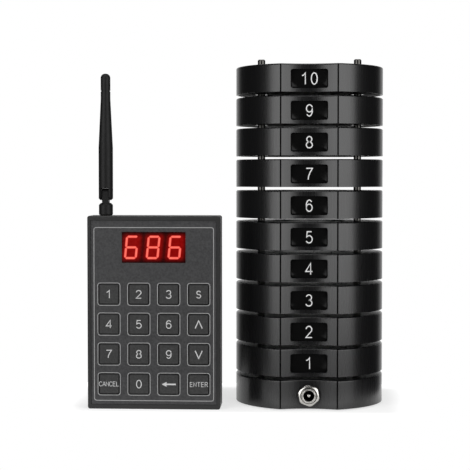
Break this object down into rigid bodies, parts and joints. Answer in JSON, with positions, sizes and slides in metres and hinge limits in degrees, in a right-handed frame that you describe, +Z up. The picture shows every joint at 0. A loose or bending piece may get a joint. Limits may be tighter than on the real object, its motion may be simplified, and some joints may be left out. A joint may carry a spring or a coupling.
{
  "type": "guest pager system",
  "caption": "Stack of numbered coaster pagers on a charging base, beside a keypad transmitter with a red display and a folding antenna.",
  "frame": {"origin": "on the counter, at the middle of the bottom of the whole set", "axes": "+Z up; the fronts of the stack and of the keypad face -Y; +X to the right, with the keypad left of the stack"},
  "size_m": [0.1964, 0.0924, 0.2338],
  "materials": {
    "black_shell": "satin black injection-moulded ABS",
    "black_cover": "fine-textured black ABS",
    "circuit_board": "populated circuit board with metal contact posts",
    "grey_case": "dark grey moulded ABS with a fine grain",
    "fascia": "dark grey printed plate",
    "key": "dark grey moulded key",
    "display": "glossy deep red filter over lit digits",
    "antenna": "matte black moulded elastomer",
    "socket_brass": "turned brass",
    "pin_steel": "steel pin",
    "jack_nickel": "nickel-plated turned metal",
    "foot_rubber": "black rubber"
  },
  "bodies": {
    "base": {"keypad_top_case": "grey_case", "keypad_bottom_case": "grey_case", "keypad_fascia": "fascia", "keypad_board": "circuit_board", "display_module": "display", "antenna_socket": "socket_brass", "charger_shell": "black_shell", "charger_bottom_plate": "black_cover", "charger_board": "circuit_board", "dc_jack": "jack_nickel", "rubber_feet": "foot_rubber"},
    "pager_01": {"pager_01_shell": "black_shell", "pager_01_cover": "black_cover", "pager_01_board": "circuit_board"},
    "pager_02": {"pager_02_shell": "black_shell", "pager_02_cover": "black_cover", "pager_02_board": "circuit_board"},
    "pager_03": {"pager_03_shell": "black_shell", "pager_03_cover": "black_cover", "pager_03_board": "circuit_board"},
    "pager_04": {"pager_04_shell": "black_shell", "pager_04_cover": "black_cover", "pager_04_board": "circuit_board"},
    "pager_05": {"pager_05_shell": "black_shell", "pager_05_cover": "black_cover", "pager_05_board": "circuit_board"},
    "pager_06": {"pager_06_shell": "black_shell", "pager_06_cover": "black_cover", "pager_06_board": "circuit_board"},
    "pager_07": {"pager_07_shell": "black_shell", "pager_07_cover": "black_cover", "pager_07_board": "circuit_board"},
    "pager_08": {"pager_08_shell": "black_shell", "pager_08_cover": "black_cover", "pager_08_board": "circuit_board"},
    "pager_09": {"pager_09_shell": "black_shell", "pager_09_cover": "black_cover", "pager_09_board": "circuit_board"},
    "pager_10": {"pager_10_shell": "black_shell", "pager_10_cover": "black_cover", "pager_10_board": "circuit_board"},
    "key_1_body": {"key_1": "key"},
    "key_2_body": {"key_2": "key"},
    "key_3_body": {"key_3": "key"},
    "key_s_body": {"key_s": "key"},
    "key_4_body": {"key_4": "key"},
    "key_5_body": {"key_5": "key"},
    "key_6_body": {"key_6": "key"},
    "key_up_body": {"key_up": "key"},
    "key_7_body": {"key_7": "key"},
    "key_8_body": {"key_8": "key"},
    "key_9_body": {"key_9": "key"},
    "key_down_body": {"key_down": "key"},
    "key_cancel_body": {"key_cancel": "key"},
    "key_0_body": {"key_0": "key"},
    "key_back_body": {"key_back": "key"},
    "key_enter_body": {"key_enter": "key"},
    "knuckle": {"antenna_knuckle": "antenna"},
    "whip": {"antenna_whip": "antenna", "antenna_hinge_pin": "pin_steel"}
  },
  "joints": [
    {"name": "pager_01_lift", "type": "slide", "parent": "base", "child": "pager_01", "axis": [0, 0, 1], "range_m": [0, 0.025]},
    {"name": "pager_02_lift", "type": "slide", "parent": "pager_01", "child": "pager_02", "axis": [0, 0, 1], "range_m": [0, 0.025]},
    {"name": "pager_03_lift", "type": "slide", "parent": "pager_02", "child": "pager_03", "axis": [0, 0, 1], "range_m": [0, 0.025]},
    {"name": "pager_04_lift", "type": "slide", "parent": "pager_03", "child": "pager_04", "axis": [0, 0, 1], "range_m": [0, 0.025]},
    {"name": "pager_05_lift", "type": "slide", "parent": "pager_04", "child": "pager_05", "axis": [0, 0, 1], "range_m": [0, 0.025]},
    {"name": "pager_06_lift", "type": "slide", "parent": "pager_05", "child": "pager_06", "axis": [0, 0, 1], "range_m": [0, 0.025]},
    {"name": "pager_07_lift", "type": "slide", "parent": "pager_06", "child": "pager_07", "axis": [0, 0, 1], "range_m": [0, 0.025]},
    {"name": "pager_08_lift", "type": "slide", "parent": "pager_07", "child": "pager_08", "axis": [0, 0, 1], "range_m": [0, 0.025]},
    {"name": "pager_09_lift", "type": "slide", "parent": "pager_08", "child": "pager_09", "axis": [0, 0, 1], "range_m": [0, 0.025]},
    {"name": "pager_10_lift", "type": "slide", "parent": "pager_09", "child": "pager_10", "axis": [0, 0, 1], "range_m": [0, 0.025]},
    {"name": "key_1_press", "type": "slide", "parent": "base", "child": "key_1_body", "axis": [0, 1, 0], "range_m": [0, 0.0008], "stiffness_N_per_m": 300},
    {"name": "key_2_press", "type": "slide", "parent": "base", "child": "key_2_body", "axis": [0, 1, 0], "range_m": [0, 0.0008], "stiffness_N_per_m": 300},
    {"name": "key_3_press", "type": "slide", "parent": "base", "child": "key_3_body", "axis": [0, 1, 0], "range_m": [0, 0.0008], "stiffness_N_per_m": 300},
    {"name": "key_s_press", "type": "slide", "parent": "base", "child": "key_s_body", "axis": [0, 1, 0], "range_m": [0, 0.0008], "stiffness_N_per_m": 300},
    {"name": "key_4_press", "type": "slide", "parent": "base", "child": "key_4_body", "axis": [0, 1, 0], "range_m": [0, 0.0008], "stiffness_N_per_m": 300},
    {"name": "key_5_press", "type": "slide", "parent": "base", "child": "key_5_body", "axis": [0, 1, 0], "range_m": [0, 0.0008], "stiffness_N_per_m": 300},
    {"name": "key_6_press", "type": "slide", "parent": "base", "child": "key_6_body", "axis": [0, 1, 0], "range_m": [0, 0.0008], "stiffness_N_per_m": 300},
    {"name": "key_up_press", "type": "slide", "parent": "base", "child": "key_up_body", "axis": [0, 1, 0], "range_m": [0, 0.0008], "stiffness_N_per_m": 300},
    {"name": "key_7_press", "type": "slide", "parent": "base", "child": "key_7_body", "axis": [0, 1, 0], "range_m": [0, 0.0008], "stiffness_N_per_m": 300},
    {"name": "key_8_press", "type": "slide", "parent": "base", "child": "key_8_body", "axis": [0, 1, 0], "range_m": [0, 0.0008], "stiffness_N_per_m": 300},
    {"name": "key_9_press", "type": "slide", "parent": "base", "child": "key_9_body", "axis": [0, 1, 0], "range_m": [0, 0.0008], "stiffness_N_per_m": 300},
    {"name": "key_down_press", "type": "slide", "parent": "base", "child": "key_down_body", "axis": [0, 1, 0], "range_m": [0, 0.0008], "stiffness_N_per_m": 300},
    {"name": "key_cancel_press", "type": "slide", "parent": "base", "child": "key_cancel_body", "axis": [0, 1, 0], "range_m": [0, 0.0008], "stiffness_N_per_m": 300},
    {"name": "key_0_press", "type": "slide", "parent": "base", "child": "key_0_body", "axis": [0, 1, 0], "range_m": [0, 0.0008], "stiffness_N_per_m": 300},
    {"name": "key_back_press", "type": "slide", "parent": "base", "child": "key_back_body", "axis": [0, 1, 0], "range_m": [0, 0.0008], "stiffness_N_per_m": 300},
    {"name": "key_enter_press", "type": "slide", "parent": "base", "child": "key_enter_body", "axis": [0, 1, 0], "range_m": [0, 0.0008], "stiffness_N_per_m": 300},
    {"name": "antenna_swivel", "type": "hinge", "parent": "base", "child": "knuckle", "pos_m": [-0.0868, -0.0373, 0.128], "axis": [0, 0, 1], "continuous": true},
    {"name": "antenna_tilt", "type": "hinge", "parent": "knuckle", "child": "whip", "pos_m": [-0.0868, -0.0373, 0.143], "axis": [-1, 0, 0], "range_deg": [0, 90]}
  ]
}
